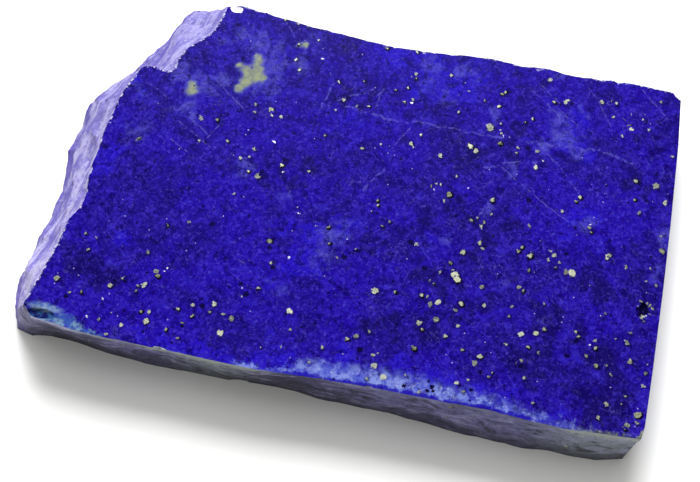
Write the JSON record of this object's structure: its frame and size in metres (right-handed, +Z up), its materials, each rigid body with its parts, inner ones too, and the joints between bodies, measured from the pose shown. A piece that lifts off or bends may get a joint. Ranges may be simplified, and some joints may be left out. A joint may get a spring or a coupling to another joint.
{
  "type": "rough lapis lazuli slice",
  "caption": "Sawn slice of deep blue lapis lazuli with one broken end, a natural grey skin along the front and pyrite grains",
  "frame": {"origin": "on the ground under the middle of the slice's bounding box", "axes": "+X along the longest side towards the sawn end, +Y towards the back, +Z up through the sawn faces"},
  "size_m": [0.0646, 0.0412, 0.007],
  "materials": {
    "lapis": "fine sawn faces, satin, with rough broken and natural walls"
  },
  "bodies": {
    "root": {"lapis_slice": "lapis"}
  },
  "joints": []
}
